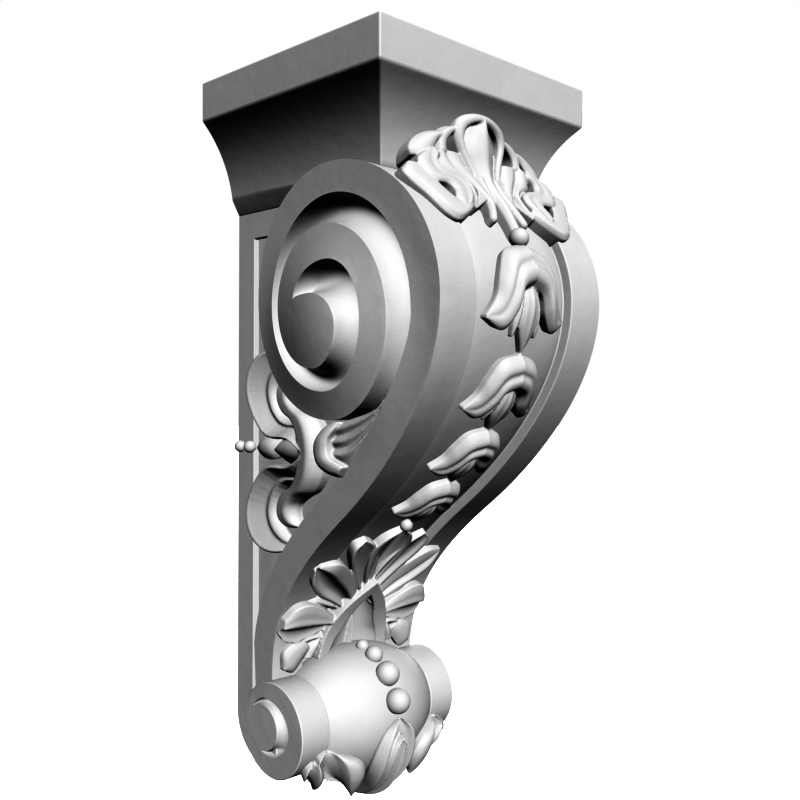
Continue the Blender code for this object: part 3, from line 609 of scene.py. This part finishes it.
def palmette(shell):
    """The fan of hollow leaves over the barrel, and the pointed hood in front of it."""
    def grow(left, right, heights, section, mirror=True):
        leaf(shell, on_front, left, right, heights, section, PALMETTE_SINK, mirror)

    edge = [(3, 272), (9.5, 257), (12.3, 245), (8.5, 236.5), (0.3, 231.5)]
    grow(mirror_line(edge), edge, (4, 3.5, 2.7, 2.2, 1.5),
         (0.9, 1, 0.45, 0.2, -0.1, 0.3, 0.55, 0.9, 0.8), mirror=False)
    grow([(3, 278), (13, 265.5), (22.5, 252.5), (25.4, 243), (20.8, 238.4)],
         [(-1, 275), (2, 259), (7, 248), (13.5, 241), (20, 238.2)], (5, 4, 3, 2, 1), SPOON)
    grow([(8, 287), (22.5, 279), (33, 273), (40.5, 265), (43, 255.5)],
         [(4, 283), (10, 269.5), (19.5, 258.5), (30, 251), (40.5, 252)], (5, 5, 5, 4.5, 2.5),
         (0.75, 0.85, 0.35, 0.3, 0.5, 1, 1, 0.9, 0.75))
    grow([(14, 287), (24, 284), (31, 281.5), (35, 278.8)],
         [(12, 284), (19, 280), (27, 277), (34.5, 278.2)], (3, 3, 2.2, 0.5), RIDGE)
    grow([(16, 296), (28, 298.5), (37.5, 300.7), (44, 299.5), (48.6, 294.5)],
         [(16, 289), (26, 282), (35.5, 277.8), (43, 279), (48.2, 286)], (5.5, 6, 6, 5.6, 4.5),
         (0.5, 0.4, 0.55, 1.1, 1.02, 0.95, 0.75))
    grow([(19, 302), (26, 303), (32, 304), (36, 302.5)],
         [(19, 298.5), (26, 297), (31, 297.5), (35.8, 301.5)], (4, 4, 3.5, 1), RIDGE)
    grow([(27, 306), (31, 311), (36.5, 316.8), (42, 315)],
         [(31, 301), (37, 300.8), (43.5, 305), (43, 314)], (3.5, 4.5, 4.5, 3),
         (0.5, 0.85, 1, 1, 0.9, 0.6))
    grow([(21, 300), (22, 305), (24, 311)], [(24, 300), (28, 304), (31, 311)], (4, 5, 4), ROUND)

    grow([(-0.3, 265.5), (6, 272.5), (12.5, 280.5), (18.5, 291.5), (21.3, 300), (23.3, 312)],
         [(-0.3, 275), (3.2, 279.5), (6.8, 285.5), (11, 296.5), (14.2, 303), (17, 312)],
         (7.4, 7.3, 7, 6.2, 5.6, 5.2), BAND_SECTION)
    niche = [(0.4, 273), (3.4, 279), (7.2, 285.5), (11.5, 296.5), (14.6, 303), (17.4, 312)]
    grow(mirror_line(niche), niche, (7, 6.8, 6.6, 6, 5.4, 5),
         (0.95, 0.45, 0.15, -0.02, -0.08, -0.02, 0.15, 0.45, 0.95), mirror=False)
    grow([(0, 292), (-0.9, 302), (-2.2, 312)], [(0.2, 292), (0.9, 302), (2.2, 312)],
         (0.6, 3, 3.5), RIDGE, mirror=False)


def barrel_leaves(shell):
    """Leaves that wrap the barrel from below."""
    edge = [(0.2, -2.3), (8.5, 3), (12.5, 12), (12.5, 23), (8, 38), (5, 52)]
    leaf(shell, on_barrel, mirror_line(edge), edge, (3, 5, 6, 7.5, 9, 9),
         (0.25, 1, 0.45, 0.3, 0.3, 0.45, 1, 0.25), BARREL_SINK, mirror=False)
    nest = [(0.2, 5.3), (5, 11), (6.5, 19), (4.5, 32), (3, 50)]
    leaf(shell, on_barrel, mirror_line(nest), nest, (6.5, 6.5, 7.5, 9.5, 9.5),
         (0.5, 0.9, 0.55, 1.1, 0.55, 0.9, 0.5), BARREL_SINK, mirror=False)
    leaf(shell, on_barrel, [(38, 10.5), (42.5, 14.5), (41, 22), (33, 31), (20.5, 34)],
         [(31, 11.5), (21.5, 14.5), (16.8, 20.5), (16.5, 28), (19.5, 34)], (5, 7.5, 9, 10, 10.5),
         (0.7, 0.4, 0.3, 0.35, 0.55, 1, 1, 0.92, 0.75, 0.4), BARREL_SINK)
    leaf(shell, on_barrel, [(44.5, 17), (47, 22), (46, 30), (38, 38.5)],
         [(41, 18), (37, 25), (34.5, 33), (36, 39.5)], (6, 8, 9, 9),
         (0.6, 0.35, 0.4, 1, 1, 0.8), BARREL_TIP_SINK)


def side_flower(shell, side):
    """The flower on a side panel: beads, bud, cone, two curled leaves, collar and trumpet."""
    def on_axis(y, rise, height):
        return (side * (PANEL_HALF + height), y, FLOWER_AXIS + rise)

    def grow(left, right, heights, section, sink=FLOWER_SINK):
        leaf(shell, on_axis, left, right, heights, section, sink, mirror=False)

    for y, radius in FLOWER_BEADS:
        ball(shell, (side * (BORDER_HALF + FLOWER_BEAD_STAND), y, FLOWER_AXIS + FLOWER_BEAD_RISE), radius)
    grow([(-13.6, 0.8), (-17, 4.6), (-22, 6.4), (-27.5, 6.2), (-33, 4.4)],
         [(-13.6, -0.4), (-17, -3.4), (-22, -5), (-27.5, -5), (-33, -3.4)],
         (1.5, 3.4, 4.6, 4.2, 1), ROUND)
    grow([(-30.5, 0.6), (-34.5, 4.4), (-40, 6.6), (-46.5, 7.2), (-56, 7)],
         [(-30.5, -0.6), (-34.5, -3.8), (-40, -6), (-46.5, -6.8), (-56, -7)],
         (4, 5.8, 7.2, 8.2, 8.4), ROUND)
    for fold in (1, -1):
        def bend(points):
            return [(y, FOLD_RISE + fold * rise) for y, rise in points]

        grow(bend([(-60, -1), (-51.4, 4.4), (-44, 6.2), (-35, 6), (-26.5, 7.6), (-18, 15), (-12, 24),
                   (-10.5, 32), (-12.6, 40), (-19, 46.4), (-27.5, 48.8), (-35.7, 48), (-40, 45.6)]),
             bend([(-66, 7), (-59, 12.4), (-50.6, 14.4), (-43.5, 15), (-37.5, 17.5), (-33, 22.5),
                   (-31.5, 27.5), (-32.2, 31.5), (-34.6, 35), (-37.6, 38), (-40.3, 40.3), (-42.5, 42),
                   (-43.3, 44.6)]),
             (11.6, 11.8, 11.2, 10, 9, 8.4, 8, 8, 8, 7.5, 6.5, 5, 2.5),
             (0.7, 1, 0.92, 0.82, 0.72, 0.62, 0.54, 0.64, 0.52, 0.2))
        grow(bend([(-54.6, -2), (-53.6, 5), (-51, 11), (-46.5, 15.6), (-39.8, 18.8), (-35.7, 25),
                   (-36.2, 31.5), (-42, 35.4), (-50.5, 35)]),
             bend([(-69, -2), (-68.6, 5), (-66.5, 11.5), (-61.5, 17.4), (-54.5, 20.6), (-49, 24),
                   (-47.5, 28), (-48.6, 32), (-52, 34.5)]),
             (12, 12, 11.5, 10.5, 9.5, 9, 8.5, 7, 4),
             (0.55, 0.86, 0.92, 0.95, 0.98, 1, 0.94, 0.78, 0.45))
    grow([(-76, 14.2), (-70.5, 10.4), (-66.9, 4.8), (-66.4, -0.4), (-69.4, -6.4), (-75, -10.2),
          (-82.5, -11)],
         [(-84.5, 14.2), (-82, 10.6), (-79.2, 6.4), (-78.8, 1.8), (-80.2, -1.6), (-83.6, -3.6),
          (-87, -5.4)],
         (10, 12.5, 14, 14, 14, 12.5, 11), (0.4, 0.8, 0.96, 1, 1, 0.93))
    grow([(-74, 12), (-83, 14), (-91, 16), (-100, 18.5), (-107, 22), (-114.5, 30.5)],
         [(-74, -4), (-82, -6), (-89, -4.5), (-97, 3), (-106, 13), (-115.8, 28.5)],
         (9, 9.8, 9.4, 8.8, 8.2, 7.6), (0.78, 1, 0.84, 1, 0.84, 1, 0.84, 0.7), TRUMPET_SINK)


def front_beads(shell):
    for s, height, radius in FRONT_BEADS:
        ball(shell, on_front(0, s, height), radius)
    for y, z, radius in BARREL_BEADS:
        ball(shell, (0, y, z), radius)


def combine(base, operation, others):
    """Applies one Boolean with all the other solids to the base solid, and removes them.

    A bevel that the base already has shapes it before the Boolean, and stays on it for the result.
    """
    group = bpy.data.collections.new("group")
    for solid in others:
        group.objects.link(solid)
    modifier = base.modifiers.new("combine", "BOOLEAN")
    modifier.operation = operation
    modifier.solver = "EXACT"
    modifier.operand_type = "COLLECTION"
    modifier.collection = group
    depsgraph = bpy.context.evaluated_depsgraph_get()
    result = bpy.data.meshes.new_from_object(base.evaluated_get(depsgraph))
    base.modifiers.remove(modifier)
    base.data = result
    for solid in others:
        bpy.data.objects.remove(solid)
    bpy.data.collections.remove(group)


def apply_modifiers(piece):
    depsgraph = bpy.context.evaluated_depsgraph_get()
    result = bpy.data.meshes.new_from_object(piece.evaluated_get(depsgraph))
    piece.modifiers.clear()
    piece.data = result


def carved(name, *makers):
    """Leaves fused into one skin with softly worked creases, from (maker, its values) pairs."""
    shell = Shell()
    for maker, values in makers:
        maker(shell, *values)
    piece = shell.finish(name)
    fuse = piece.modifiers.new("fuse", "REMESH")
    fuse.mode = "VOXEL"
    fuse.voxel_size = VOXEL
    fuse.use_smooth_shade = True
    soften = piece.modifiers.new("soften", "SMOOTH")
    soften.factor = 0.5
    soften.iterations = 3
    thin = piece.modifiers.new("thin", "DECIMATE")
    thin.ratio = KEPT_SHARE
    apply_modifiers(piece)
    piece.data.shade_smooth()
    return piece


def softened(piece, width):
    """Gives a solid a bevel that rounds its arrises."""
    bevel = piece.modifiers.new("arris", "BEVEL")
    bevel.width = width
    bevel.segments = 3
    bevel.limit_method = "ANGLE"
    bevel.angle_limit = math.radians(40)
    return piece


def body():
    """The plain masses of the corbel as one solid."""
    piece = softened(abacus_and_cove(), ARRIS)
    foot = roll()
    combine(foot, "DIFFERENCE", [ring_groove(1), ring_groove(-1)])
    combine(piece, "UNION", [softened(border(), BORDER_ARRIS), core(), scroll(), foot])
    piece.data.shade_smooth()
    piece.data.set_sharp_from_angle(angle=math.radians(30))
    evened = piece.modifiers.new("evened", "WEIGHTED_NORMAL")
    evened.weight = 100
    evened.keep_sharp = True
    apply_modifiers(piece)
    return piece


def plaster():
    """Cast plaster, dry and matt, with faint mottling and pores, painted shade in the hollows and a
    painted highlight on the edges.
    """
    material = bpy.data.materials.new("plaster")
    material.use_nodes = True
    nodes, links = material.node_tree.nodes, material.node_tree.links
    shader = nodes["Principled BSDF"]
    place = nodes.new("ShaderNodeTexCoord")

    def noise(scale, detail, roughness):
        node = nodes.new("ShaderNodeTexNoise")
        node.inputs["Scale"].default_value = scale
        node.inputs["Detail"].default_value = detail
        node.inputs["Roughness"].default_value = roughness
        links.new(place.outputs["Object"], node.inputs["Vector"])
        return node.outputs["Fac"]

    def ranged(source, low, high, to_low, to_high):
        node = nodes.new("ShaderNodeMapRange")
        sockets = ("From Min", "From Max", "To Min", "To Max")
        for socket, value in zip(sockets, (low, high, to_low, to_high)):
            node.inputs[socket].default_value = value
        links.new(source, node.inputs["Value"])
        return node.outputs["Result"]

    def mixed(factor, first, second):
        """Goes from the first colour, a value or a socket, to the second, a value."""
        node = nodes.new("ShaderNodeMix")
        node.data_type = "RGBA"
        sockets = {item.name: item for item in node.inputs if item.enabled}
        links.new(factor, sockets["Factor"])
        if isinstance(first, bpy.types.NodeSocket):
            links.new(first, sockets["A"])
        else:
            sockets["A"].default_value = first
        sockets["B"].default_value = second
        return [item for item in node.outputs if item.enabled][0]

    def bumped(height, strength, distance):
        node = nodes.new("ShaderNodeBump")
        node.inputs["Strength"].default_value = strength
        node.inputs["Distance"].default_value = distance
        links.new(height, node.inputs["Height"])
        return node

    mottle = ranged(noise(38.0, 4.0, 0.55), 0.35, 0.65, 0.0, 1.0)
    pores = ranged(noise(900.0, 2.0, 0.6), 0.62, 0.72, 0.0, 0.35)
    curve = nodes.new("ShaderNodeNewGeometry").outputs["Pointiness"]
    tone = mixed(mottle, PLAIN_TONE, PALE_TONE)
    tone = mixed(pores, tone, PORE_TONE)
    # Painted shade: the hollows are darkened where shade would fall
    tone = mixed(ranged(curve, 0.40, 0.50, 0.30, 0.0), tone, PAINTED_HOLLOW_SHADE_TONE)
    # Painted highlight: the sharp convex edges are made paler where light would catch them
    tone = mixed(ranged(curve, 0.52, 0.60, 0.0, 0.35), tone, PAINTED_EDGE_HIGHLIGHT_TONE)
    links.new(tone, shader.inputs["Base Color"])
    links.new(ranged(noise(120.0, 3.0, 0.5), 0.3, 0.7, 0.62, 0.78), shader.inputs["Roughness"])
    shader.inputs["Specular IOR Level"].default_value = 0.32

    fine = bumped(noise(1500.0, 3.0, 0.6), 0.22, 0.00035)
    broad = bumped(noise(130.0, 2.0, 0.5), 0.08, 0.0016)
    links.new(fine.outputs["Normal"], broad.inputs["Normal"])
    links.new(broad.outputs["Normal"], shader.inputs["Normal"])
    return material


def make_pieces():
    finish = plaster()
    pieces = [
        body(),
        carved("crown_leaves", (crown, ())),
        carved("husk_drop", *[(husk, size) for size in HUSKS]),
        carved("palmette_leaves", (palmette, ())),
        carved("barrel_leaves", (barrel_leaves, ())),
        carved("flower_left", (side_flower, (-1,))),
        carved("flower_right", (side_flower, (1,))),
        carved("front_beads", (front_beads, ())),
    ]
    for piece in pieces:
        piece.data.materials.clear()
        piece.data.materials.append(finish)
        # The photo shows direct light alone, so the forms cast no light on each other
        piece.visible_diffuse = False
        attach(piece, "root")
    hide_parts("corbel")


def camera():
    data = bpy.data.cameras.new("camera")
    data.sensor_width = SENSOR
    data.lens = LENS
    eye = bpy.data.objects.new("camera", data)
    eye.location = EYE_PLACE
    eye.rotation_euler = EYE_TURN
    bpy.context.scene.collection.objects.link(eye)
    bpy.context.scene.camera = eye


def lamp(name, towards, strength, spread, shadow=True):
    """A distant lamp whose light comes from the given direction."""
    data = bpy.data.lights.new(name, "SUN")
    data.energy = strength
    data.angle = math.radians(spread)
    data.use_shadow = shadow
    item = bpy.data.objects.new(name, data)
    item.rotation_euler = Vector(towards).to_track_quat("Z", "Y").to_euler()
    bpy.context.scene.collection.objects.link(item)
    return item


def floor():
    """A pale studio floor under the hanging corbel, which throws no light up on it."""
    mesh = bpy.data.meshes.new("studio_floor")
    corners = [(-1, -1), (1, -1), (1, 1), (-1, 1)]
    points = [(x * FLOOR_REACH, y * FLOOR_REACH, FLOOR_LEVEL) for x, y in corners]
    mesh.from_pydata(points, [], [(0, 1, 2, 3)])
    ground = bpy.data.objects.new("studio_floor", mesh)
    bpy.context.scene.collection.objects.link(ground)
    paint = bpy.data.materials.new("studio_floor")
    paint.use_nodes = True
    shader = paint.node_tree.nodes["Principled BSDF"]
    shader.inputs["Base Color"].default_value = FLOOR_TONE
    shader.inputs["Roughness"].default_value = FLOOR_ROUGHNESS
    mesh.materials.append(paint)
    ground.visible_diffuse = False
    ground.visible_glossy = False
    return ground


def studio(ground):
    """The light of the photo: one lamp without cast shadows, a dim one behind, and a white ground."""
    lamp("key", *KEY_LAMP, shadow=False)
    lamp("back_fill", *BACK_LAMP)
    overhead = lamp("floor_light", *FLOOR_LAMP)
    lit = bpy.data.collections.new("floor_only")
    lit.objects.link(ground)
    overhead.light_linking.receiver_collection = lit
    world = bpy.data.worlds.new("studio")
    bpy.context.scene.world = world
    world.use_nodes = True
    backdrop = world.node_tree.nodes["Background"]
    backdrop.inputs["Color"].default_value = (1, 1, 1, 1)
    backdrop.inputs["Strength"].default_value = 1.0
    world.cycles_visibility.diffuse = False
    world.cycles_visibility.glossy = False
    bpy.context.scene.view_settings.view_transform = "Standard"
    bpy.context.scene.view_settings.gamma = GAMMA


make_pieces()
ground = floor()
camera()
studio(ground)
